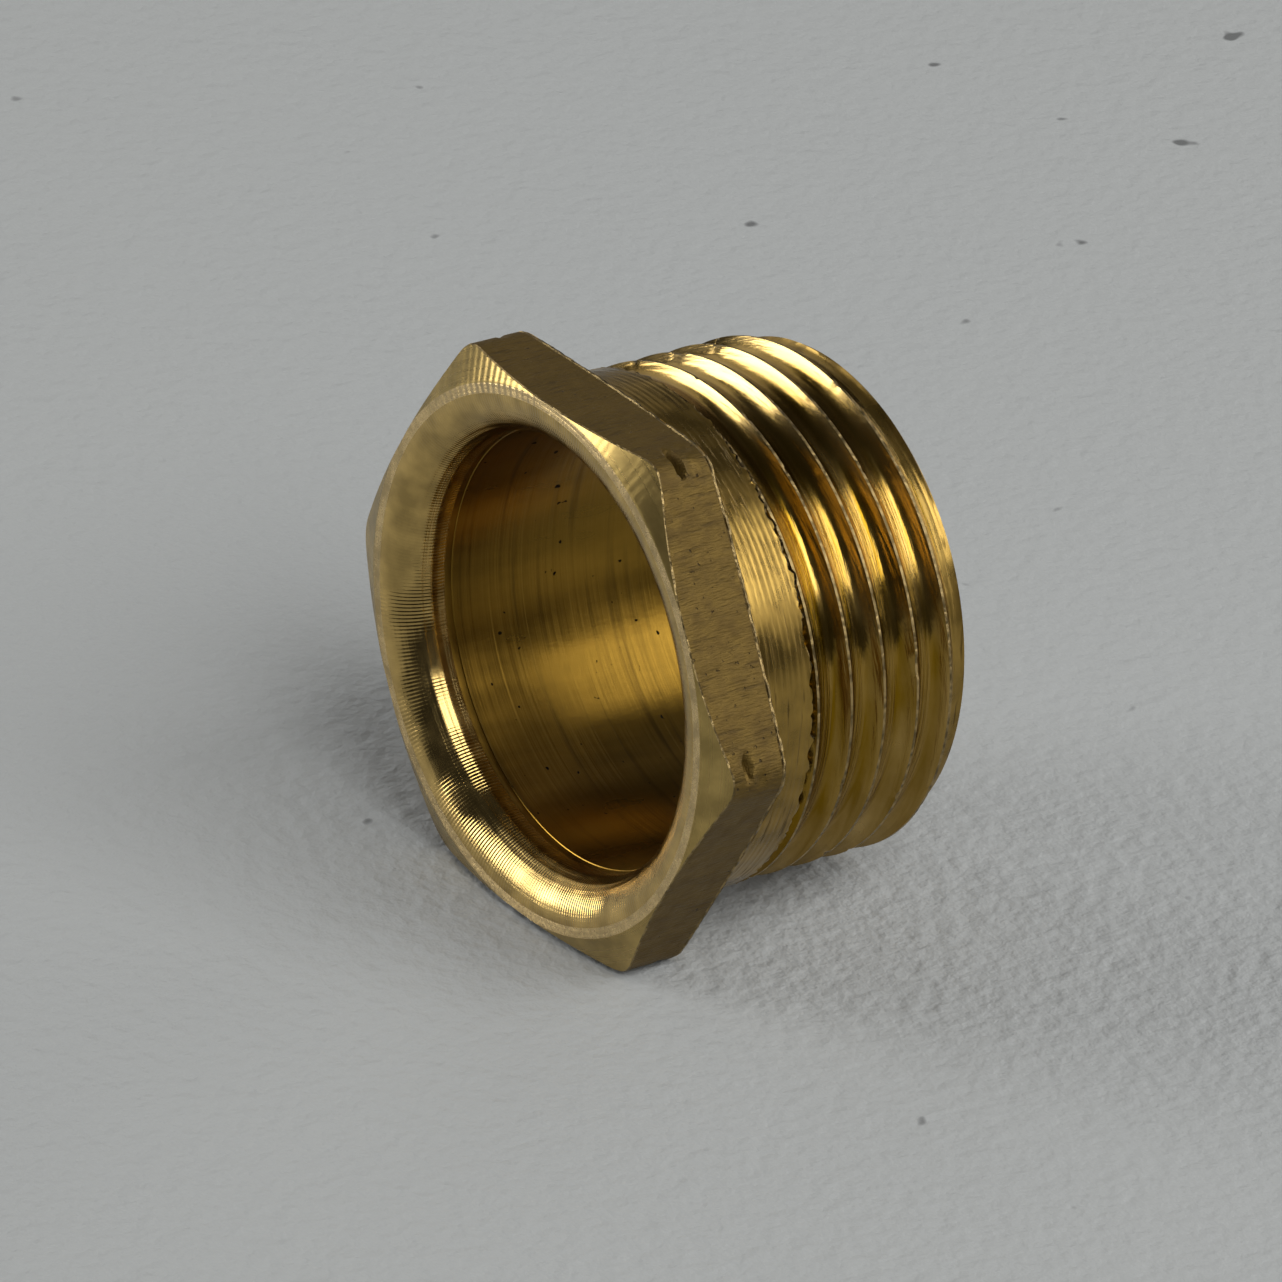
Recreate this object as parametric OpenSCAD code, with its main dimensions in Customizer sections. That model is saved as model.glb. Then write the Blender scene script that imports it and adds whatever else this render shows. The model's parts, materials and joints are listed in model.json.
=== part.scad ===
// Male hexagon bush: a short hollow brass fitting, turned in one piece from
// drawn hexagon bar. The thread axis lies along +Y, with the head towards -Y,
// and one hexagon flat faces down. The origin is on the axis, at the shoulder
// under the head. All sizes are in millimetres.

/* [Thread] */
// Diameter of the plain neck, which the thread is cut into
thread_d = 19.8; // [12:0.1:40]
// Distance from one thread crest to the next
pitch = 1.5; // [1:0.05:2]
// Length of the shank beyond the shoulder
shank_len = 9.8; // [7:0.1:25]
// Plain length left under the head before the thread starts
neck_len = 2.4; // [1:0.1:5]
// Chamfer on the threaded end
end_chamfer = 0.5; // [0.2:0.05:1.2]

/* [Head] */
// How far each flat stands out past the plain neck
flat_overhang = 0.6; // [0.3:0.05:3]
// Thickness of the hexagon head
head_h = 3.0; // [2:0.1:8]
// Angle of the turned chamfer on the front corners, from the front face
front_chamfer_angle = 22; // [10:1:40]
// Angle of the light chamfer on the rear corners
rear_chamfer_angle = 5; // [2:1:20]
// How much the bar's drawn corners are blunted
corner_blunt = 0.2; // [0.05:0.05:0.5]

/* [Bore] */
// Metal left between the bore and the bottom of the thread
root_wall = 0.58; // [0.4:0.02:2]
// Radius of the rounded mouth in the head
mouth_radius = 1.7; // [0.5:0.05:2]
// Small chamfer where the bore leaves the threaded end
bore_chamfer = 0.25; // [0.1:0.05:0.5]

/* [Detail] */
// Straight pieces used for each turn of the thread
steps_per_turn = 48; // [24:4:72]

/* [Hidden] */
$fn = 96;
over = 0.5; // how far a cutting shape runs past what it cuts

// A 60 degree thread: its flanks lie 30 degrees from square to the axis.
// Cutting it leaves the crests a hair under the neck.
flank_slope = tan(30);
thread_depth = 0.6134 * pitch;
crest_w = pitch / 8;
neck_r = thread_d / 2;
crest_r = neck_r - 0.04;
root_r = neck_r - thread_depth;

flat_r = neck_r + flat_overhang; // from the axis to a hexagon flat
corner_r = flat_r / cos(30);
blunt_r = corner_r - corner_blunt;

bore_r = root_r - root_wall;

// The ridge runs from inside the neck to past the end, and its foot is sunk
// a little way into the core so that the two join.
foot_r = root_r - 0.12;
foot_w = crest_w + 2 * (crest_r - foot_r) * flank_slope;
first_crest = neck_len - 0.72 * pitch;
ridge_turns = (shank_len + 0.7 * pitch - first_crest) / pitch;
ridge_steps = ceil(ridge_turns * steps_per_turn);

// The head: a length of hexagon bar with its corners turned off at both ends.
// In each half section, radius runs along X and distance from the shoulder
// along Y.
module head() {
    front_drop = (blunt_r - flat_r) * tan(front_chamfer_angle);
    rear_drop = (blunt_r - flat_r) * tan(rear_chamfer_angle);
    intersection() {
        translate([0, 0, -head_h - over])
            cylinder(h = head_h + 2 * over, r = corner_r, $fn = 6);
        rotate_extrude()
            polygon([
                [0, -head_h],
                [flat_r, -head_h],
                [blunt_r, -head_h + front_drop],
                [blunt_r, -rear_drop],
                [flat_r, 0],
                [0, 0],
            ]);
    }
}

// The shank without its thread: a plain neck, then the core at root depth.
module shank_core() {
    rotate_extrude()
        polygon([
            [0, -over],
            [neck_r, -over],
            [neck_r, neck_len],
            [root_r, neck_len + thread_depth],
            [root_r, shank_len + over],
            [0, shank_len + over],
        ]);
}

// The shank's length and the cone of its end chamfer, clear of the crests.
module shank_end() {
    rotate_extrude()
        polygon([
            [0, -over],
            [neck_r + over, -over],
            [neck_r + over, shank_len - end_chamfer - over],
            [neck_r - end_chamfer, shank_len],
            [0, shank_len],
        ]);
}

// The four corners of the ridge's section at one step along the helix.
function ridge_section(step) =
    let (
        turn = 360 * step / steps_per_turn,
        along = first_crest + pitch * step / steps_per_turn,
        corners = [
            [foot_r, -foot_w / 2],
            [crest_r, -crest_w / 2],
            [crest_r, crest_w / 2],
            [foot_r, foot_w / 2],
        ]
    )
    [for (c = corners) [c[0] * cos(turn), c[0] * sin(turn), along + c[1]]];

// A right-handed helical ridge, as one closed surface from end to end.
module thread_ridge() {
    points = [for (step = [0:ridge_steps]) each ridge_section(step)];
    last = 4 * ridge_steps;
    sides = [
        for (step = [0:ridge_steps - 1], side = [0:3])
            let (
                a = 4 * step + side,
                b = 4 * step + (side + 1) % 4
            )
            each [[a, b, b + 4], [a, b + 4, a + 4]]
    ];
    ends = [[3, 2, 1, 0], [last, last + 1, last + 2, last + 3]];
    polyhedron(points, concat(sides, ends), convexity = 12);
}

// The plain bore, its rounded mouth in the head and its small end chamfer.
module bore() {
    translate([0, 0, -head_h - over])
        cylinder(h = head_h + shank_len + 2 * over, r = bore_r);
    rotate_extrude()
        difference() {
            translate([0, -head_h - over])
                square([bore_r + mouth_radius, mouth_radius + over]);
            translate([bore_r + mouth_radius, mouth_radius - head_h])
                circle(r = mouth_radius);
        }
    translate([0, 0, shank_len - bore_chamfer])
        cylinder(
            h = bore_chamfer + over,
            r1 = bore_r,
            r2 = bore_r + bore_chamfer + over
        );
}

module hex_bush() {
    color("darkgoldenrod")
        rotate([-90, 0, 0])
            difference() {
                union() {
                    head();
                    intersection() {
                        union() {
                            shank_core();
                            thread_ridge();
                        }
                        shank_end();
                    }
                }
                bore();
            }
}

hex_bush();
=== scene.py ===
"""A short hollow brass bush with a thin hexagon head, turned from drawn bar, on a plain studio stage."""

import json
import math

import bpy
from bpy.props import FloatProperty, FloatVectorProperty, IntProperty, PointerProperty
from mathutils import Matrix, Vector, noise


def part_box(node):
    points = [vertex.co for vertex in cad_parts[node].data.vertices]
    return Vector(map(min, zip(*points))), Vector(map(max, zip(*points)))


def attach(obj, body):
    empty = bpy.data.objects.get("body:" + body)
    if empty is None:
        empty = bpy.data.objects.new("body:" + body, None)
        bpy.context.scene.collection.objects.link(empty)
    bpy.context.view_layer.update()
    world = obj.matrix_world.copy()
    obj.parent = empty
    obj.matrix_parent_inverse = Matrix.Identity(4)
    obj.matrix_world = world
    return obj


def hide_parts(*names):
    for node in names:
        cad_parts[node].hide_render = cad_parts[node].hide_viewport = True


bl_info = {
    "name": "Brass Hexagon Bush",
    "version": (1, 0, 0),
    "blender": (4, 5, 0),
    "location": "View3D > Sidebar > Bush",
    "description": "Builds a turned brass hexagon bush and its studio stage",
    "category": "Object",
}

MM = 0.001

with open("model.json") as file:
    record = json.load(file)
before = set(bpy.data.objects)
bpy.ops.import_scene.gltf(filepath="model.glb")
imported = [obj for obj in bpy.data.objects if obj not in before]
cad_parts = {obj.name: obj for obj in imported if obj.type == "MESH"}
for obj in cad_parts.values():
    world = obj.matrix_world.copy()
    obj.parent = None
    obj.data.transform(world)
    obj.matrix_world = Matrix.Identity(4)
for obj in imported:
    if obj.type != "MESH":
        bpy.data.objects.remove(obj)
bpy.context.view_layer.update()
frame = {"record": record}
BODY = "root"
NODE = "hex_bush"
LOW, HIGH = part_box(NODE)
MOUNTS = {mount["name"]: mount for mount in frame["record"]["mounts"]}
NECK = MOUNTS["panel_neck"]["dims"]
BORE = MOUNTS["cable_bore"]["dims"]


def linear(hex_colour):
    """An sRGB hex colour as linear red, green and blue."""
    parts = [int(hex_colour[i : i + 2], 16) / 255 for i in (1, 3, 5)]
    return tuple(p / 12.92 if p <= 0.04045 else ((p + 0.055) / 1.055) ** 2.4 for p in parts)


# ---------------------------------------------------------------- settings


def length(name, description, default):
    """A length setting, in metres."""
    return FloatProperty(name=name, description=description, default=default, unit="LENGTH")


def turning(name, description, degrees):
    """An angle setting."""
    return FloatProperty(name=name, description=description, default=math.radians(degrees), unit="ROTATION")


def shade(name, description, hex_colour):
    """A colour setting, given as sRGB hex."""
    colour = linear(hex_colour)
    return FloatVectorProperty(name=name, description=description, default=colour, subtype="COLOR")


class BushSizes(bpy.types.PropertyGroup):
    """Sizes of the bush."""

    head: length("Head thickness", "From the shoulder to the front face", -LOW.y)
    shank: length("Shank length", "From the shoulder to the threaded end", HIGH.y)
    flat: length("Flat radius", "From the axis to a hexagon flat", HIGH.z)
    corner: length("Corner radius", "From the axis to a blunted corner", HIGH.x)
    neck: length("Neck radius", "Radius of the plain neck and the crests", NECK["r_mm"] * MM)
    neck_length: length("Neck length", "Plain length behind the head", NECK["length_mm"] * MM)
    bore: length("Bore radius", "Radius of the plain bore", BORE["r_mm"] * MM)
    mouth: length("Mouth radius", "Radius of the rounded bore mouth", 1.7 * MM)
    pitch: length("Pitch", "From one thread crest to the next", 1.5 * MM)
    thread_depth: length("Thread depth", "From crest to root", 0.56 * MM)
    end_chamfer: length("End chamfer", "Chamfer on the threaded end", 0.5 * MM)
    front_chamfer: turning("Front chamfer", "Angle of the front corner chamfer", 22)
    rear_chamfer: turning("Rear chamfer", "Angle of the rear corner chamfer", 5)
    columns: IntProperty(
        name="Columns",
        description="Mesh columns round the axis, before the extra ones at corners",
        default=360,
        min=72,
    )


class BushColours(bpy.types.PropertyGroup):
    """Colours of the brass, as each surface was made."""

    faced: shade("Faced brass", "Flat lip of the front face", "#ceb37f")
    rounded: shade("Rounded brass", "Rounded bore mouth", "#c3a565")
    chamfered: shade("Chamfered brass", "Turned corner chamfers", "#b0965a")
    drawn: shade("Drawn brass", "Tarnished hexagon flats", "#5e4a1c")
    # The stain colour, darkened, also serves as painted shade in the torn gap after the neck.
    stain_and_gap_shade: shade("Stain", "Brown tarnish and old cutting oil", "#35270e")
    turned: shade("Turned brass", "Plain neck, crests and threaded end", "#93773a")
    # Crest colour: the upper part of the thread flanks, outside the painted shade of the grooves.
    crest: shade("Cut thread", "Clean upper part of the thread flanks", "#cfb070")
    burr: shade("Crest burr", "Torn thread crests", "#b59c6a")
    # Root colour: painted shade, the deep amber of the thread grooves.
    root: shade("Thread root", "Amber tarnish in the thread grooves", "#7e5f0e")
    bored: shade("Bored brass", "Plain bore", "#8b6b27")


class StageSettings(bpy.types.PropertyGroup):
    """The floor and the camera."""

    azimuth: turning("Azimuth", "Camera angle round the object", 53.17)
    elevation: turning("Elevation", "Camera angle above the horizon", 26.86)
    roll: turning("Roll", "Camera roll", 3.67)
    distance: length("Distance", "Camera distance from its target", 0.471)
    width: length("View width", "Width of the view at the target", 0.04787)
    target: FloatVectorProperty(
        name="Target",
        description="Point that the camera looks at, from the middle of the part's box",
        default=(-2.81 * MM, 0.56 * MM, -2.13 * MM),
        subtype="TRANSLATION",
    )
    tilt: turning("Resting tilt", "How far the threaded end drops when the part lies on a flat", 3.75)
    floor: shade("Floor colour", "Pale pebbled floor", "#a2a4a3")


# ---------------------------------------------------------------- the section of the bush


def smaller(a, b, blend):
    """The smaller of two numbers, rounded where they cross."""
    near = max(blend - abs(a - b), 0.0) / blend
    return min(a, b) - near * near * blend / 4


def larger(a, b, blend):
    """The larger of two numbers, rounded where they cross."""
    return -smaller(-a, -b, blend)


def ease(x, start, end):
    """0 before start, 1 after end and a smooth rise between."""
    t = min(max((x - start) / (end - start), 0.0), 1.0)
    return t * t * (3 - 2 * t)


def spread(start, end, count):
    """Evenly spaced values after start, up to and including end."""
    return [start + (end - start) * (i + 1) / count for i in range(count)]


def wobble(angle, y, size, seed):
    """Seamless noise on a cylinder, about -1 to 1, for features of a size in mm."""
    return noise.noise(Vector((10 * math.cos(angle), y + 37.0 * seed, 10 * math.sin(angle))) / size)


# Where the mesh lines lie across one turn of thread, as shares of the pitch
# from a crest. They are closest at the crest's two edges.
THREAD_LINES = (-0.5, -0.42, -0.34, -0.25, -0.16, -0.08, -0.035, 0.0, 0.035, 0.08, 0.16, 0.25, 0.34, 0.42)
CREST_LINES = (0.0, 0.035)  # the lines that end a strip of the crest itself
FIRST_CREST = 1.31  # where a crest would lie at +X, in mm from the shoulder
THREAD_TURNS = 6  # turns of mesh lines, some of them pressed together at the thread's two ends

# Small sizes of the section, in mm.
CORNER_BLEND = 0.22
EDGE = 0.04  # width of the worn edges round the head
REAR_FILLET = 0.12
CREST_HALF = 0.06  # half the width of a crest
CREST_DROP = 0.03  # how far the crests lie below the neck
CREST_BLEND = 0.03
ROOT_BLEND = 0.36
RUN_IN = 1.6  # length over which the thread deepens
GAP = 0.1  # width of the torn gap where the thread starts
END_MARGIN = 0.06  # from the last thread line to the end chamfer
BORE_CHAMFER = 0.25
UNDERCUT = 0.03  # depth of the step where the mouth meets the bore
MOUTH_STEPS = 22

# Knocks on the head: angle in degrees, distance from the shoulder, size round
# the axis, size along it and depth, all in mm.
KNOCKS = (
    (60.8, -1.45, 0.8, 0.2, 0.5),
    (63.5, -0.7, 0.3, 0.35, 0.08),
    (58.5, -1.0, 0.5, 0.3, 0.08),
    (2.8, -1.75, 0.6, 0.2, 0.3),
    (0.5, -1.2, 0.35, 0.25, 0.08),
    (120.0, -1.1, 0.45, 0.22, 0.12),
    (119.0, -2.5, 0.3, 0.2, 0.06),
    (-60.0, -0.9, 0.35, 0.3, 0.12),
    (-61.0, -2.0, 0.3, 0.25, 0.07),
    (179.0, -1.6, 0.4, 0.3, 0.1),
    (-120.5, -0.8, 0.5, 0.2, 0.1),
    (38.0, -0.35, 0.4, 0.2, 0.04),
)


class Section:
    """The bush's outline in one half plane through the axis, in millimetres."""

    def __init__(self, sizes):
        self.head = sizes.head / MM
        self.shank = sizes.shank / MM
        self.flat = sizes.flat / MM
        self.corner = sizes.corner / MM
        self.neck = sizes.neck / MM
        self.neck_length = sizes.neck_length / MM
        self.bore = sizes.bore / MM
        self.mouth = sizes.mouth / MM
        self.pitch = sizes.pitch / MM
        self.depth = sizes.thread_depth / MM
        self.end_chamfer = sizes.end_chamfer / MM
        self.front_slope = math.tan(sizes.front_chamfer)
        self.rear_slope = math.tan(sizes.rear_chamfer)

    def hexagon(self, angle):
        """Radius of the hexagon bar, with its corners blunted."""
        from_flat = (math.degrees(angle) % 60) - 30
        return smaller(self.flat / math.cos(math.radians(from_flat)), self.corner, CORNER_BLEND)

    def front(self, r):
        """The front face and its chamfer at one radius."""
        return -self.head + max(r - self.flat, 0.0) * self.front_slope

    def rear(self, r):
        """The rear face and its chamfer at one radius."""
        return -max(r - self.flat, 0.0) * self.rear_slope

    def knocked(self, angle, y):
        """How deep the head is dented at one place."""
        depth = 0.0
        for centre, along, round_size, along_size, deep in KNOCKS:
            apart = (math.degrees(angle) - centre + 180) % 360 - 180
            across = math.radians(apart) * self.corner / round_size
            depth = max(depth, deep * (1 - across**2 - ((y - along) / along_size) ** 2))
        return depth

    def crest(self, angle, turn):
        """Distance of one crest from the shoulder."""
        return FIRST_CREST + self.pitch * (turn - math.degrees(angle) / 360)

    def thread(self, angle, y):
        """Radius of the thread: a narrow nicked crest, 60 degree flanks and a wide, round root."""
        across = ((y - self.crest(angle, 0)) / self.pitch + 0.5) % 1 - 0.5
        fall = (abs(across) * self.pitch - CREST_HALF) / math.tan(math.radians(30))
        depth = self.depth * (0.6 + 0.4 * ease(y, self.neck_length, self.neck_length + RUN_IN))
        fall = smaller(larger(fall, 0.0, CREST_BLEND), depth, ROOT_BLEND)
        nick = 0.07 * ease(wobble(angle, y, 0.5, 8), 0.45, 0.6)
        return self.neck - CREST_DROP - fall - nick * ease(-fall, -0.2, 0.0)

    def front_face(self, angle):
        """The flat lip, from the mouth to the chamfer."""
        edge = min(self.flat, self.hexagon(angle) - EDGE)
        inner = self.bore + self.mouth
        return [(r, -self.head) for r in spread(inner, edge, 4)]

    def front_chamfer(self, angle):
        """The cone that cuts the head's front corners."""
        end = self.hexagon(angle) - EDGE
        start = min(self.flat, end)
        return [(r, self.front(r)) for r in spread(start, end, 10)]

    def front_edge(self, angle):
        """The chipped edge between the front chamfer and a flat."""
        r = self.hexagon(angle)
        front = self.front(r)
        chip = 0.6 * wobble(angle, 5, 0.7, 4) + 0.7 * wobble(angle, 5, 0.25, 9)
        return [(r - 0.03, front + 0.01), (r - 0.005, front + 0.03 + 0.07 * min(max(chip, 0.0), 1.0))]

    def flat_side(self, angle):
        """A flat of the bar, with a slight wave and the knocks."""
        r = self.hexagon(angle)
        front = self.front(r) + 0.08
        rear = self.rear(r)
        points = []
        for y in spread(front + 0.08, rear - 0.25, 16) + [rear - 0.17]:
            wave = 0.012 * wobble(angle, y * 0.15, 0.6, 7)
            points.append((r - 0.012 + wave - self.knocked(angle, y), y))
        return points + [(r - 0.07, rear - 0.1)]

    def rear_edge(self, angle):
        """The thin burr that leans out over the rear edge of a flat, torn away here and there."""
        r = self.hexagon(angle)
        rear = self.rear(r)
        burr = 0.35 + wobble(angle, 7, 0.6, 5) + 0.9 * wobble(angle, 7, 0.22, 6)
        burr = min(max(burr, 0.0), 1.0)
        return [(r - 0.05 + 0.045 * burr, rear - 0.06), (r - 0.06 + 0.03 * burr, rear + 0.05 * burr)]

    def rear_face(self, angle):
        """The back of the head and the fillet that leads to the neck."""
        outer = self.hexagon(angle) - EDGE
        radii = [outer] + spread(outer, self.neck + REAR_FILLET, 7)
        face = [(r, self.rear(r)) for r in radii]
        curve = []
        for step in range(1, 4):
            t = math.radians(30 * step)
            curve.append((self.neck + REAR_FILLET * (1 - math.sin(t)), REAR_FILLET * (1 - math.cos(t))))
        return face + curve

    def neck_end(self, angle):
        """The ragged edge where the thread's first cut breaks into the neck."""
        rag = 0.5 + 0.9 * wobble(angle, 0, 0.55, 1) + 0.7 * wobble(angle, 0, 0.25, 2)
        return self.neck_length + 0.17 * min(max(rag, -0.2), 1.2)

    def neck_side(self, angle):
        """The plain neck, up to its ragged edge."""
        end = self.neck_end(angle)
        along = spread(REAR_FILLET, self.neck_length - 0.1, 16) + [end - 0.06, end - 0.02]
        points = [(self.neck, y) for y in along]
        burr = 0.07 * max(wobble(angle, 3, 0.4, 3), -0.4)
        points[-1] = (self.neck + burr, end - 0.02)
        return points

    def neck_gap(self, angle):
        """The narrow torn gap between the neck and the first of the thread."""
        end = self.neck_end(angle)
        deep = 0.16 + 0.06 * wobble(angle, 1, 0.4, 10)
        foot = end + GAP
        return [(self.neck - 0.05, end), (self.neck - deep, end + 0.04), (self.thread(angle, foot), foot)]

    def thread_side(self, angle):
        """The thread, on mesh lines that follow the helix."""
        start, stop = self.neck_end(angle) + GAP, self.shank - self.end_chamfer - END_MARGIN
        points = []
        for turn in range(1, THREAD_TURNS + 1):
            for share in THREAD_LINES:
                y = self.crest(angle, turn) + share * self.pitch
                y = min(max(y, start), stop)
                points.append((self.thread(angle, y), y))
        return points

    def end(self, angle):
        """The end chamfer, which cuts across the last of the thread, and the end face."""
        cone = self.neck - self.end_chamfer
        along = spread(self.shank - self.end_chamfer - END_MARGIN, self.shank, 10)
        chamfer = [(smaller(self.thread(angle, y), cone + self.shank - y, 0.04), y) for y in along]
        rim = chamfer[-1][0]
        face = [(r, self.shank) for r in spread(rim, self.bore + BORE_CHAMFER, 4)]
        return chamfer + face

    def bore_side(self, angle):
        """The plain bore, from its end chamfer to the small step before the mouth."""
        points = [(self.bore + BORE_CHAMFER - d, self.shank - d) for d in spread(0.0, BORE_CHAMFER, 2)]
        top, foot = self.shank - BORE_CHAMFER, self.mouth - self.head
        points += [(self.bore, y) for y in spread(top, foot + 0.5, 14)]
        step = self.bore + UNDERCUT
        points += [(self.bore, foot + 0.42), (step, foot + 0.4), (step, foot + 0.1)]
        return points

    def mouth_side(self, angle):
        """The rounded mouth, from the bore out to the lip."""
        points = []
        for step in range(1, MOUTH_STEPS + 1):
            t = math.radians(90 * step / MOUTH_STEPS)
            r = self.bore + self.mouth * (1 - math.cos(t))
            points.append((max(r, self.bore + UNDERCUT), -self.head + self.mouth * (1 - math.sin(t))))
        return points

    def zones(self, angle):
        """Every zone's points, from the front face round the outside and back through the bore."""
        return [
            ("faced", self.front_face(angle)),
            ("chamfered", self.front_chamfer(angle)),
            ("burred", self.front_edge(angle)),
            ("drawn", self.flat_side(angle)),
            ("burred", self.rear_edge(angle)),
            ("turned", self.rear_face(angle) + self.neck_side(angle)),
            # The torn gap is coloured almost black: painted shade.
            ("gap_shade", self.neck_gap(angle)),
            ("threaded", self.thread_side(angle)),
            ("turned", self.end(angle)),
            ("bored", self.bore_side(angle)),
            ("rounded", self.mouth_side(angle)),
        ]


def column_angles(count):
    """Angles of the mesh's columns, with extra ones close to each hexagon corner."""
    angles = {round(360 * i / count, 4) for i in range(count)}
    for corner in range(0, 360, 60):
        for step in range(-8, 9):
            angles.add(round((corner + 0.4 * step) % 360, 4))
    ordered = sorted(angles)
    kept = [a for a, b in zip(ordered, ordered[1:] + [360]) if b - a > 0.15]
    return [math.radians(a) for a in kept]


def bush_mesh(sizes, finishes):
    """One closed mesh: the section's points in each column, joined round the axis."""
    section = Section(sizes)
    places, columns, zone_of = [], [], []
    for angle in column_angles(sizes.columns):
        column, last, zone_of, first_line = [], None, [], 0
        for zone, points in section.zones(angle):
            if zone == "threaded":
                first_line = len(column)
            for r, y in points:
                if last is None or abs(r - last[0]) + abs(y - last[1]) > 1e-6:
                    places.append((r * math.cos(angle) * MM, y * MM, r * math.sin(angle) * MM))
                    last = (r, y)
                column.append(len(places) - 1)
                zone_of.append(zone)
        columns.append(column)

    # Past the last column the thread has advanced by one pitch, so its lines
    # join the ones that lie one turn earlier in the first column.
    turn = len(THREAD_LINES)
    shifted = list(columns[0])
    for line in range(THREAD_TURNS * turn):
        shifted[first_line + line] = columns[0][first_line + max(line - turn, 0)]
    columns.append(shifted)

    faces, slots = [], []
    names = list(finishes)
    count = len(zone_of)
    for left, right in zip(columns, columns[1:]):
        for j in range(count):
            k = (j + 1) % count
            loop = []
            for v in (left[j], left[k], right[k], right[j]):
                if v not in loop:
                    loop.append(v)
            if len(loop) > 2:
                faces.append(loop)
                zone = zone_of[k]
                if zone == "threaded" and THREAD_LINES[(k - first_line) % turn] in CREST_LINES:
                    zone = "burred"
                slots.append(names.index(zone))
    mesh = bpy.data.meshes.new("hexagon_bush")
    mesh.from_pydata(places, [], faces)
    mesh.polygons.foreach_set("material_index", slots)
    mesh.polygons.foreach_set("use_smooth", [True] * len(faces))
    for material in finishes.values():
        mesh.materials.append(material)
    mesh.validate()
    return mesh


# ---------------------------------------------------------------- materials


def add(tree, kind, inputs=None, **settings):
    """Adds one node with its settings, socket values and links."""
    node = tree.nodes.new(kind)
    for name, value in settings.items():
        setattr(node, name, value)
    for key, value in (inputs or {}).items():
        if isinstance(value, bpy.types.NodeSocket):
            tree.links.new(value, node.inputs[key])
        else:
            node.inputs[key].default_value = value
    return node


def blank_material(name):
    material = bpy.data.materials.new(name)
    material.use_nodes = True
    material.node_tree.nodes.clear()
    return material, material.node_tree


class Lathe:
    """Places on the bush as the lathe saw them, in millimetres, for a material's patterns."""

    def __init__(self, tree):
        self.tree = tree
        place = add(tree, "ShaderNodeTexCoord").outputs["Object"]
        scaled = add(tree, "ShaderNodeVectorMath", {0: place, "Scale": 1 / MM}, operation="SCALE")
        self.place = scaled.outputs[0]
        x, self.along, z = add(tree, "ShaderNodeSeparateXYZ", {0: self.place}).outputs
        flat = add(tree, "ShaderNodeCombineXYZ", {"X": x, "Z": z}).outputs[0]
        self.radius = add(tree, "ShaderNodeVectorMath", {0: flat}, operation="LENGTH").outputs["Value"]
        self.angle = add(tree, "ShaderNodeMath", {0: z, 1: x}, operation="ARCTAN2").outputs[0]
        # Radius less distance along the axis changes steadily over the whole
        # outline, so it tells one tool line from the next everywhere.
        travel = add(tree, "ShaderNodeMath", {0: self.radius, 1: self.along}, operation="SUBTRACT").outputs[0]
        self.travelled = add(tree, "ShaderNodeCombineXYZ", {"X": x, "Y": travel, "Z": z}).outputs[0]

    def noise(self, place, per_mm, detail=3.0, low=0.0, high=1.0, seed=0.0):
        """Noise with a number of features per mm along X, Y and Z, stretched from low and high to 0 and 1."""
        mapping = {"Vector": place, "Scale": per_mm, "Location": (seed, seed, seed)}
        moved = add(self.tree, "ShaderNodeMapping", mapping).outputs[0]
        fine = add(self.tree, "ShaderNodeTexNoise", {"Vector": moved, "Scale": 1.0, "Detail": detail})
        ends = {"Value": fine.outputs["Fac"], "From Min": low, "From Max": high}
        return add(self.tree, "ShaderNodeMapRange", ends).outputs[0]

    def wave(self, coordinate, cycles):
        """A sine wave along a coordinate, with a number of cycles for each unit of it."""
        turns = add(self.tree, "ShaderNodeMath", {0: coordinate, 1: cycles * math.tau}, operation="MULTIPLY")
        return add(self.tree, "ShaderNodeMath", {0: turns.outputs[0]}, operation="SINE").outputs[0]

    def chatter(self, count):
        """Even marks across the tool's path, a number of them in each turn."""
        return self.wave(self.angle, count / math.tau)

    def blend(self, share, low, high):
        """One colour at share 0 and another at 1."""
        ends = {0: share, 6: low, 7: high}
        return add(self.tree, "ShaderNodeMix", ends, data_type="RGBA").outputs[2]

    def sum(self, *terms):
        """The sum of terms, each a socket, another socket or 1, and a number that multiply each other."""
        total = 0.0
        for socket, mask, size in terms:
            part = add(self.tree, "ShaderNodeMath", {0: socket, 1: mask}, operation="MULTIPLY").outputs[0]
            inputs = {0: part, 1: size, 2: total}
            total = add(self.tree, "ShaderNodeMath", inputs, operation="MULTIPLY_ADD").outputs[0]
        return total


def finish(lathe, colour, roughness, height, grain=0.0, metallic=1.0):
    """The metal shader: height is in mm, and grain spreads highlights across the tool lines."""
    tree = lathe.tree
    bump = add(tree, "ShaderNodeBump", {"Height": height, "Strength": 1.0, "Distance": MM})
    inputs = {"Base Color": colour, "Metallic": metallic, "Roughness": roughness, "Normal": bump.outputs[0]}
    if grain:
        inputs["Tangent"] = add(tree, "ShaderNodeTangent", direction_type="RADIAL", axis="Y").outputs[0]
        inputs["Anisotropic"] = grain
        inputs["Anisotropic Rotation"] = 0.25
    shader = add(tree, "ShaderNodeBsdfPrincipled", inputs)
    add(tree, "ShaderNodeOutputMaterial", {"Surface": shader.outputs[0]})


def tone(colour, factor):
    """A colour made lighter or darker."""
    return (*[part * factor for part in colour], 1)


def near_corner(lathe):
    """1 beside the corner at 120 degrees, where the tool chattered most, and 0 a quarter turn away."""
    tree = lathe.tree
    past = add(tree, "ShaderNodeMath", {0: lathe.angle, 1: math.radians(108)}, operation="SUBTRACT")
    apart = add(tree, "ShaderNodeMath", {0: past.outputs[0]}, operation="ABSOLUTE").outputs[0]
    return add(tree, "ShaderNodeMapRange", {"Value": apart, "From Min": 0.5, "From Max": 0.15}).outputs[0]


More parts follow.
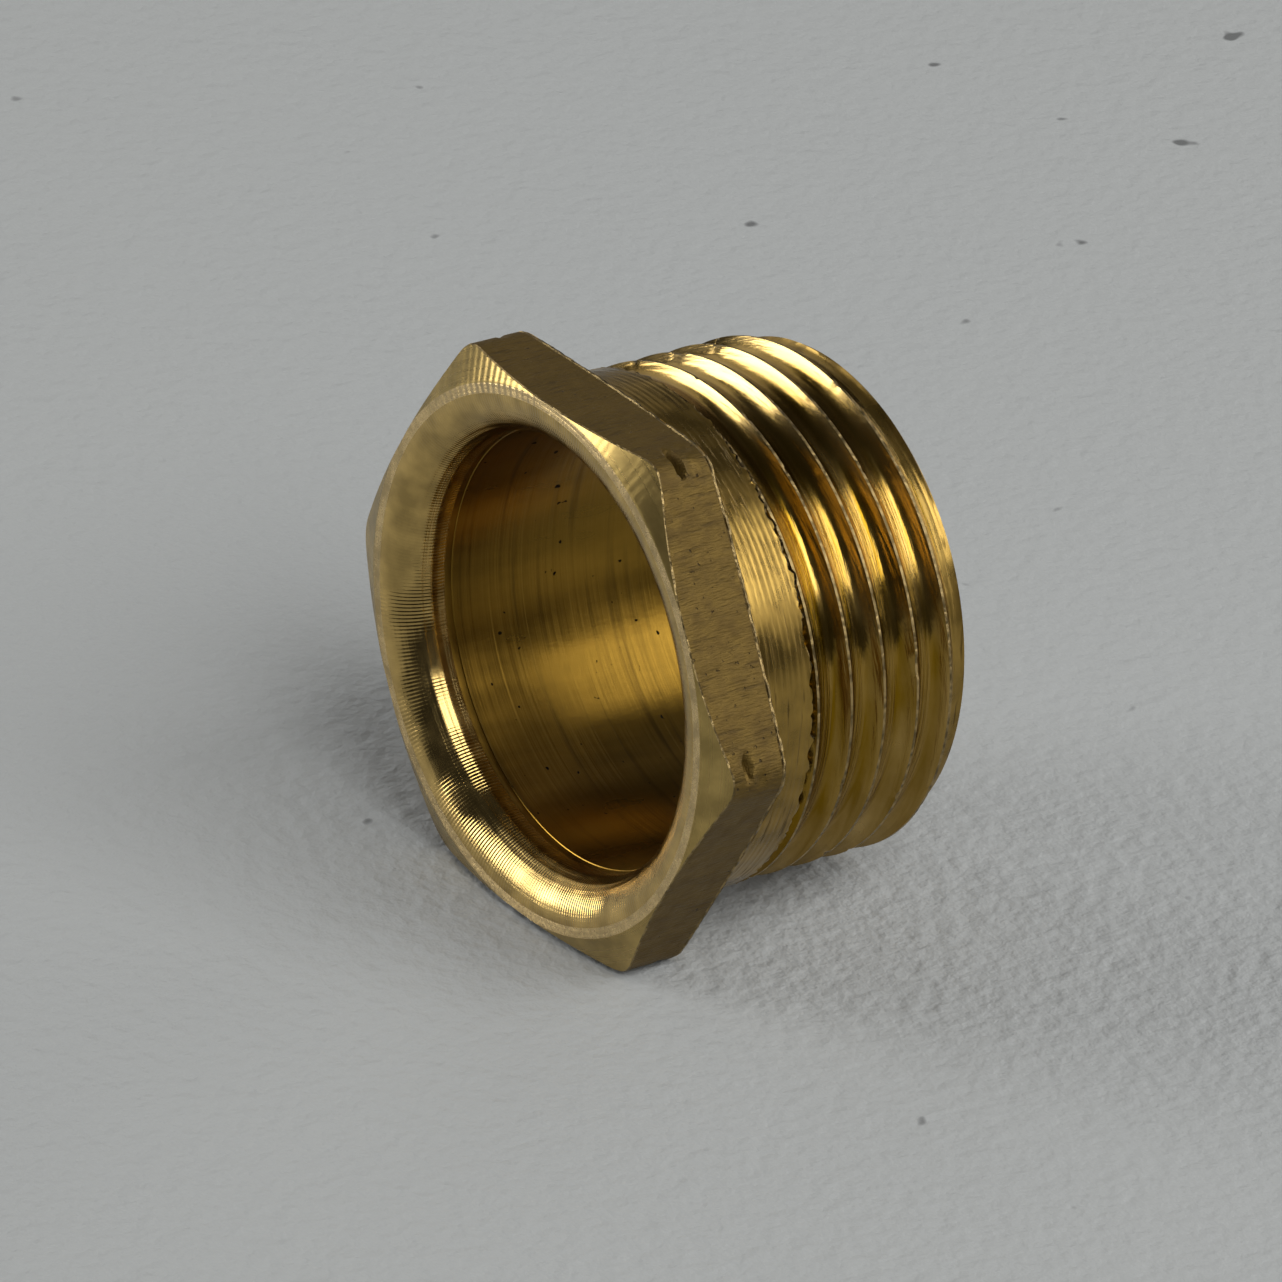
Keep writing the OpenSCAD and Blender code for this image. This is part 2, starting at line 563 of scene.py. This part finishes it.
def faced_brass(colours):
    """Brass faced on the lathe: a satin lip whose fine rings catch light like a record's grooves."""
    material, tree = blank_material("faced_brass")
    lathe = Lathe(tree)
    rings = lathe.noise(lathe.travelled, (0.15, 12, 0.15), 4)
    wear = lathe.noise(lathe.place, (1.5, 1.5, 1.5), 3, 0.35, 0.65, 3)
    scuffs = lathe.noise(lathe.place, (6, 6, 6), 4, 0.4, 0.7, 13)
    marks = lathe.chatter(172)
    colour = lathe.blend(wear, tone(colours.faced, 0.75), tone(colours.faced, 1.12))
    height = lathe.sum((rings, 1.0, 0.025), (marks, near_corner(lathe), 0.01), (scuffs, 1.0, 0.005))
    roughness = lathe.sum((wear, 1.0, -0.06), (scuffs, 1.0, 0.1), (1.0, 1.0, 0.28))
    finish(lathe, colour, roughness, height, 0.8)
    return material


def rounded_brass(colours):
    """Brass turned with a form tool: bright, with fine rings crossed by chatter marks 0.9 degrees apart."""
    material, tree = blank_material("rounded_brass")
    lathe = Lathe(tree)
    rings = lathe.noise(lathe.travelled, (0.12, 8, 0.12), 5)
    steps = lathe.wave(lathe.radius, 5.0)
    # The rings are deepest where the mouth runs into the bore.
    deepening = {"Value": lathe.radius, "From Min": 9.0, "From Max": 8.5}
    entrance = add(tree, "ShaderNodeMapRange", deepening).outputs[0]
    marks = lathe.chatter(400)
    patches = lathe.noise(lathe.place, (0.35, 0.35, 0.35), 2, 0.38, 0.55, 5)
    wear = lathe.noise(lathe.place, (1.2, 1.2, 1.2), 4, 0.35, 0.7)
    colour = lathe.blend(wear, tone(colours.rounded, 0.72), tone(colours.rounded, 1.1))
    height = lathe.sum((rings, 1.0, 0.012), (steps, entrance, 0.008), (marks, patches, 0.0045))
    finish(lathe, colour, lathe.sum((wear, 1.0, 0.08), (1.0, 1.0, 0.16)), height, 0.6)
    return material


def chamfered_brass(colours):
    """Brass chamfered in one pass: olive yellow, with rings and a few chatter marks 2 degrees apart."""
    material, tree = blank_material("chamfered_brass")
    lathe = Lathe(tree)
    rings = lathe.noise(lathe.travelled, (0.1, 9, 0.1), 4)
    marks = lathe.chatter(172)
    near = near_corner(lathe)
    wear = lathe.noise(lathe.place, (0.9, 0.9, 0.9), 4, 0.35, 0.65, 8)
    colour = lathe.blend(wear, tone(colours.chamfered, 0.75), tone(colours.chamfered, 1.12))
    height = lathe.sum((rings, 1.0, 0.01), (marks, near, 0.0025), (marks, wear, 0.001))
    finish(lathe, colour, lathe.sum((rings, 1.0, 0.12), (1.0, 1.0, 0.22)), height, 0.6)
    return material


def drawn_brass(colours):
    """Brass bar as it left the drawing die: dull brown tarnish, dark die lines along the axis and pits."""
    material, tree = blank_material("drawn_brass")
    lathe = Lathe(tree)
    bands = lathe.noise(lathe.place, (1.2, 0.15, 1.2), 3, 0.35, 0.65)
    lines = lathe.noise(lathe.place, (6, 0.7, 6), 4, 0.56, 0.7, 4)
    fine = lathe.noise(lathe.place, (14, 2.5, 14), 4, 0.3, 0.7, 9)
    pits = lathe.noise(lathe.place, (4.5, 4.5, 4.5), 2, 0.69, 0.74, 12)
    blotches = lathe.noise(lathe.place, (1.6, 1.6, 1.6), 5, 0.4, 0.72, 15)
    base = lathe.blend(bands, tone(colours.drawn, 0.82), tone(colours.drawn, 1.2))
    worn = lathe.blend(fine, base, tone(colours.drawn, 1.2))
    dull = lathe.blend(lathe.sum((blotches, 1.0, 0.45)), worn, tone(colours.stain_and_gap_shade, 2.0))
    dark = lathe.blend(lathe.sum((lines, 1.0, 0.4), (pits, 1.0, 0.8)), dull, tone(colours.stain_and_gap_shade, 0.8))
    height = lathe.sum((lines, 1.0, -0.012), (fine, 1.0, 0.013), (pits, 1.0, -0.03), (blotches, 1.0, 0.02))
    roughness = lathe.sum((blotches, 1.0, 0.1), (fine, 1.0, 0.08), (1.0, 1.0, 0.48))
    finish(lathe, dark, roughness, height, metallic=0.72)
    return material


def turned_brass(colours):
    """Brass turned with a pointed tool: one clear line for each 0.26 mm that the tool moved."""
    material, tree = blank_material("turned_brass")
    lathe = Lathe(tree)
    feed = lathe.wave(lathe.along, 1 / 0.26)
    rings = lathe.noise(lathe.travelled, (0.15, 9, 0.15), 4)
    tears = lathe.noise(lathe.travelled, (0.6, 7, 0.6), 3, 0.58, 0.7, 6)
    wear = lathe.noise(lathe.place, (0.8, 0.8, 0.8), 4, 0.35, 0.65, 2)
    base = lathe.blend(wear, tone(colours.turned, 0.7), tone(colours.turned, 1.1))
    colour = lathe.blend(lathe.sum((tears, 1.0, 0.6)), base, tone(colours.stain_and_gap_shade, 1.4))
    height = lathe.sum((feed, 1.0, 0.0035), (rings, 1.0, 0.01), (tears, 1.0, -0.01))
    roughness = lathe.sum((tears, 1.0, 0.2), (wear, 1.0, 0.08), (1.0, 1.0, 0.25))
    finish(lathe, colour, roughness, height, 0.5, metallic=0.9)
    return material


def threaded_brass(colours):
    """Brass screw-cut with a die: bright flanks brushed along the thread, deep amber painted shade in the
    grooves and a painted highlight along the upper side.
    """
    material, tree = blank_material("threaded_brass")
    lathe = Lathe(tree)
    brushed = lathe.noise(lathe.travelled, (0.15, 8, 0.15), 5)
    scratched = lathe.noise(lathe.travelled, (0.5, 14, 0.5), 3, 0.3, 0.7, 11)
    smears = lathe.noise(lathe.travelled, (0.35, 2, 0.35), 4, 0.35, 0.7, 5)
    # Painted shade: towards the bottom of each groove the colour runs to the deep amber root colour.
    flank = {"Value": lathe.radius, "From Min": 9.15, "From Max": 9.8}
    above_groove_shade = add(tree, "ShaderNodeMapRange", flank).outputs[0]
    # Painted highlight: the upper side of the thread is made lighter, where it faces the lights. The thread
    # is also darker over its first groove, next to the neck.
    height_up = add(tree, "ShaderNodeSeparateXYZ", {0: lathe.place}).outputs["Z"]
    top_highlight_range = {"Value": height_up, "From Min": 7.0, "From Max": 9.4}
    painted_top_highlight = add(tree, "ShaderNodeMapRange", top_highlight_range).outputs[0]
    past_first = {"Value": lathe.along, "From Min": 3.0, "From Max": 4.6}
    open_end = add(tree, "ShaderNodeMapRange", past_first).outputs[0]
    streaks = lathe.sum((brushed, 1.0, 1.1), (1.0, 1.0, -0.5))
    bright = lathe.sum((above_groove_shade, open_end, 0.2), (smears, open_end, 0.22), (painted_top_highlight, above_groove_shade, 0.5))
    share = lathe.sum((bright, 1.0, 1.0), (streaks, 1.0, 1.0))
    colour = lathe.blend(share, tone(colours.root, 1.0), tone(colours.crest, 1.0))
    height = lathe.sum((brushed, 1.0, 0.022), (smears, 1.0, 0.006), (scratched, 1.0, 0.011))
    finish(lathe, colour, lathe.sum((smears, 1.0, 0.12), (1.0, 1.0, 0.16)), height, 0.6)
    return material


def burred_brass(colours):
    """Brass torn by the die along each thread crest: narrow, dry and pinkish."""
    material, tree = blank_material("burred_brass")
    lathe = Lathe(tree)
    torn = lathe.noise(lathe.place, (3, 3, 3), 4, 0.38, 0.62)
    colour = lathe.blend(torn, tone(colours.burr, 0.3), tone(colours.burr, 0.8))
    finish(lathe, colour, lathe.sum((torn, 1.0, 0.15), (1.0, 1.0, 0.38)), lathe.sum((torn, 1.0, 0.03)))
    return material


def gap_shade_brass(colours):
    """Painted shade in the torn gap after the neck: almost black brass, with small lighter spots."""
    material, tree = blank_material("gap_shade_brass")
    lathe = Lathe(tree)
    gap_spots = lathe.noise(lathe.place, (4, 4, 4), 3, 0.5, 0.66, 2)
    colour = lathe.blend(gap_spots, tone(colours.stain_and_gap_shade, 0.7), tone(colours.burr, 0.8))
    roughness = lathe.sum((gap_spots, 1.0, -0.2), (1.0, 1.0, 0.6))
    finish(lathe, colour, roughness, lathe.sum((gap_spots, 1.0, 0.03)), metallic=0.6)
    return material


def bored_brass(colours):
    """Brass bored and reamed: golden brown, with faint rings, a few tool lines and dark oil specks."""
    material, tree = blank_material("bored_brass")
    lathe = Lathe(tree)
    rings = lathe.noise(lathe.travelled, (0.06, 5, 0.06), 5)
    lines = lathe.noise(lathe.travelled, (0.12, 2.2, 0.12), 3, 0.56, 0.72, 7)
    streaks = lathe.noise(lathe.place, (0.5, 0.12, 0.5), 3, 0.35, 0.7, 3)
    specks = lathe.noise(lathe.place, (2.6, 2.6, 2.6), 1, 0.74, 0.77, 21)
    base = lathe.blend(streaks, tone(colours.bored, 0.75), tone(colours.bored, 1.15))
    lined = lathe.blend(lathe.sum((lines, 1.0, 0.5)), base, tone(colours.stain_and_gap_shade, 1.6))
    colour = lathe.blend(specks, lined, tone(colours.stain_and_gap_shade, 0.2))
    fine = lathe.noise(lathe.place, (7, 2.5, 7), 3, 0.3, 0.7, 17)
    height = lathe.sum((rings, 1.0, 0.014), (fine, 1.0, 0.0015))
    finish(lathe, colour, lathe.sum((streaks, 1.0, 0.1), (specks, 1.0, 0.3), (1.0, 1.0, 0.27)), height, 0.6)
    return material


def brass_finishes(colours):
    """The materials by the name of the zone that they cover."""
    return {
        "faced": faced_brass(colours),
        "rounded": rounded_brass(colours),
        "chamfered": chamfered_brass(colours),
        "drawn": drawn_brass(colours),
        "turned": turned_brass(colours),
        "threaded": threaded_brass(colours),
        "burred": burred_brass(colours),
        "gap_shade": gap_shade_brass(colours),
        "bored": bored_brass(colours),
    }


FADE = (0.2, 0.4)  # metres from the part over which the floor gives way to the paper
PAPER_GLOW = 1.05  # the paper's brightness, chosen to match the lit floor


def lit_paper(colour):
    """Seamless paper with its own even light, so that the floor runs into it without an edge."""
    material, tree = blank_material("lit_paper")
    glow = add(tree, "ShaderNodeEmission", {"Color": (*colour, 1), "Strength": PAPER_GLOW})
    add(tree, "ShaderNodeOutputMaterial", {"Surface": glow.outputs[0]})
    return material


def pebbled_board(colour):
    """Painted board: matt, pale grey, with shallow pebbles about 0.6 mm wide and a few dark specks."""
    material, tree = blank_material("pebbled_board")
    place = add(tree, "ShaderNodeTexCoord").outputs["Object"]
    grain = add(tree, "ShaderNodeTexNoise", {"Vector": place, "Scale": 1300.0, "Detail": 3.0}).outputs["Fac"]
    dirt = add(tree, "ShaderNodeTexNoise", {"Vector": place, "Scale": 420.0, "Detail": 2.0}).outputs["Fac"]
    specks = add(tree, "ShaderNodeMapRange", {"Value": dirt, "From Min": 0.76, "From Max": 0.8}).outputs[0]
    ends = {0: specks, 6: (*colour, 1), 7: (*[part * 0.35 for part in colour], 1)}
    spotted = add(tree, "ShaderNodeMix", ends, data_type="RGBA").outputs[2]
    bump = add(tree, "ShaderNodeBump", {"Height": grain, "Strength": 1.0, "Distance": 0.2 * MM})
    inputs = {"Base Color": spotted, "Roughness": 0.65, "Normal": bump.outputs[0]}
    board = add(tree, "ShaderNodeBsdfPrincipled", inputs).outputs[0]
    # Far from the part the board thins out and shows the lit paper below it.
    reach = add(tree, "ShaderNodeVectorMath", {0: place}, operation="LENGTH").outputs["Value"]
    fading = {"Value": reach, "From Min": FADE[0], "From Max": FADE[1]}
    thin = add(tree, "ShaderNodeMapRange", fading).outputs[0]
    gap = add(tree, "ShaderNodeBsdfTransparent").outputs[0]
    shader = add(tree, "ShaderNodeMixShader", {0: thin, 1: board, 2: gap})
    add(tree, "ShaderNodeOutputMaterial", {"Surface": shader.outputs[0]})
    return material


# ---------------------------------------------------------------- operators


class BUSH_OT_build(bpy.types.Operator):
    """Builds the hexagon bush as one closed mesh with a finish for each way its surfaces were made."""

    bl_idname = "bush.build"
    bl_label = "Build Hexagon Bush"

    def execute(self, context):
        mesh = bush_mesh(context.scene.bush_sizes, brass_finishes(context.scene.bush_colours))
        piece = bpy.data.objects.new("hexagon_bush", mesh)
        context.scene.collection.objects.link(piece)
        mesh.set_sharp_from_angle(angle=math.radians(35))
        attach(piece, BODY)
        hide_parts(NODE)
        return {"FINISHED"}


class BUSH_OT_stage(bpy.types.Operator):
    """Adds the pale floor, the soft lights and the camera."""

    bl_idname = "bush.stage"
    bl_label = "Build Stage"

    def execute(self, context):
        scene, stage = context.scene, context.scene.bush_stage
        build_floor(scene, stage)
        build_lights(scene, stage)
        build_camera(scene, stage)
        return {"FINISHED"}


FLOOR_REACH = 1.1  # metres from the part to where the floor ends and the backdrop starts
SWEEP = 0.3  # radius of the backdrop's curve
WALL = 1.2  # height of the backdrop
RING_POINTS = 96


def floor_ring(radius, height, tilt):
    """One ring of points round the part, in the frame of the tilted floor."""
    points = []
    for step in range(RING_POINTS):
        angle = math.tau * step / RING_POINTS
        local = Vector((radius * math.cos(angle), radius * math.sin(angle), height))
        points.append(Matrix.Rotation(tilt, 3, "X") @ local + Vector((0, 0, LOW.z)))
    return points


def build_ringed_sheet(scene, name, rings, material):
    """A stage sheet through rings of points."""
    points = [point for ring in rings for point in ring]
    count = len(rings[0])
    faces = []
    for i in range(len(rings) - 1):
        for j in range(count):
            k = (j + 1) % count
            faces.append((i * count + j, i * count + k, (i + 1) * count + k, (i + 1) * count + j))
    mesh = bpy.data.meshes.new(name)
    mesh.from_pydata(points, [], faces)
    mesh.polygons.foreach_set("use_smooth", [True] * len(faces))
    mesh.materials.append(material)
    sheet = bpy.data.objects.new(name, mesh)
    scene.collection.objects.link(sheet)
    return sheet


def build_floor(scene, stage):
    """A flat pale floor at the part's resting tilt, and a backdrop that only the camera sees."""
    material = pebbled_board(stage.floor)
    rings = [floor_ring(radius, 0.0, stage.tilt) for radius in (0.0001, 0.05, 0.3, FLOOR_REACH)]
    build_ringed_sheet(scene, "floor", rings, material)
    # The backdrop starts just below the floor, where the floor is still solid.
    rings = [floor_ring(FADE[0] / 2, -MM, stage.tilt)]
    for step in range(9):
        turn = math.radians(90 * step / 8)
        radius = FLOOR_REACH + SWEEP * math.sin(turn)
        rings.append(floor_ring(radius, SWEEP * (1 - math.cos(turn)) - MM, stage.tilt))
    rings.append(floor_ring(FLOOR_REACH + SWEEP, WALL, stage.tilt))
    backdrop = build_ringed_sheet(scene, "backdrop", rings, lit_paper(stage.floor))
    backdrop.visible_glossy = False
    backdrop.visible_diffuse = False
    backdrop.visible_shadow = False


# Soft boxes round the part: azimuth from +X and elevation above the floor of
# the middle, width and height as seen from the part, all in degrees, and radiance.
SOFT_BOXES = {
    "left_window": (-138, 18, 30, 32, 6.8),
    "high_window": (8, 46, 48, 36, 5.9),
    "back_light": (82, 15, 64, 28, 2.8),
    "side_light": (172, 30, 46, 40, 0.6),
}
LIGHT_DISTANCE = 0.9  # metres from the part
WORLD_STRENGTH = 0.035


def build_lights(scene, stage):
    """Four soft boxes that face the part, and a trace of light from everywhere."""
    world = bpy.data.worlds.new("studio")
    world.use_nodes = True
    background = world.node_tree.nodes["Background"]
    background.inputs["Color"].default_value = (1, 1, 1, 1)
    background.inputs["Strength"].default_value = WORLD_STRENGTH
    scene.world = world
    for name, (azimuth, elevation, width, height, radiance) in SOFT_BOXES.items():
        a, e = math.radians(azimuth), math.radians(elevation)
        toward = Vector((math.cos(e) * math.cos(a), math.cos(e) * math.sin(a), math.sin(e)))
        toward = Matrix.Rotation(stage.tilt, 3, "X") @ toward
        light = bpy.data.lights.new(name, "AREA")
        light.shape = "RECTANGLE"
        light.size = 2 * LIGHT_DISTANCE * math.tan(math.radians(width / 2))
        light.size_y = 2 * LIGHT_DISTANCE * math.tan(math.radians(height / 2))
        light.energy = radiance * math.pi * light.size * light.size_y
        lamp = bpy.data.objects.new(name, light)
        lamp.location = toward * LIGHT_DISTANCE
        lamp.rotation_euler = (-toward).to_track_quat("-Z", "Y").to_euler()
        lamp.visible_camera = False
        scene.collection.objects.link(lamp)


def build_camera(scene, stage):
    """A camera on the stage's sight line, level apart from its roll."""
    data = bpy.data.cameras.new("camera")
    data.sensor_width = 36
    data.lens = 36 * stage.distance / stage.width
    data.clip_start, data.clip_end = 0.01, 20
    camera = bpy.data.objects.new("camera", data)
    a, e = stage.azimuth, stage.elevation
    back = Vector((math.sin(a) * math.cos(e), -math.cos(a) * math.cos(e), math.sin(e)))
    right = Vector((math.cos(a), math.sin(a), 0))
    up = back.cross(right)
    right, up = (
        right * math.cos(stage.roll) + up * math.sin(stage.roll),
        up * math.cos(stage.roll) - right * math.sin(stage.roll),
    )
    target = (LOW + HIGH) / 2 + Vector(stage.target)
    turn = Matrix((right, up, back)).transposed().to_4x4()
    camera.matrix_world = Matrix.Translation(target + back * stage.distance) @ turn
    scene.collection.objects.link(camera)
    scene.camera = camera
    scene.view_settings.view_transform = "Standard"


class BUSH_PT_panel(bpy.types.Panel):
    bl_label = "Hexagon Bush"
    bl_idname = "BUSH_PT_panel"
    bl_space_type = "VIEW_3D"
    bl_region_type = "UI"
    bl_category = "Bush"

    def draw(self, context):
        scene = context.scene
        for group in (scene.bush_sizes, scene.bush_colours, scene.bush_stage):
            box = self.layout.box()
            for name in group.__annotations__:
                box.prop(group, name)
        self.layout.operator("bush.build")
        self.layout.operator("bush.stage")


CLASSES = (BushSizes, BushColours, StageSettings, BUSH_OT_build, BUSH_OT_stage, BUSH_PT_panel)


def register():
    for each in CLASSES:
        bpy.utils.register_class(each)
    bpy.types.Scene.bush_sizes = PointerProperty(type=BushSizes)
    bpy.types.Scene.bush_colours = PointerProperty(type=BushColours)
    bpy.types.Scene.bush_stage = PointerProperty(type=StageSettings)


def unregister():
    del bpy.types.Scene.bush_stage
    del bpy.types.Scene.bush_colours
    del bpy.types.Scene.bush_sizes
    for each in reversed(CLASSES):
        bpy.utils.unregister_class(each)


def main():
    register()
    bpy.ops.bush.build()
    bpy.ops.bush.stage()


if __name__ == "__main__":
    main()
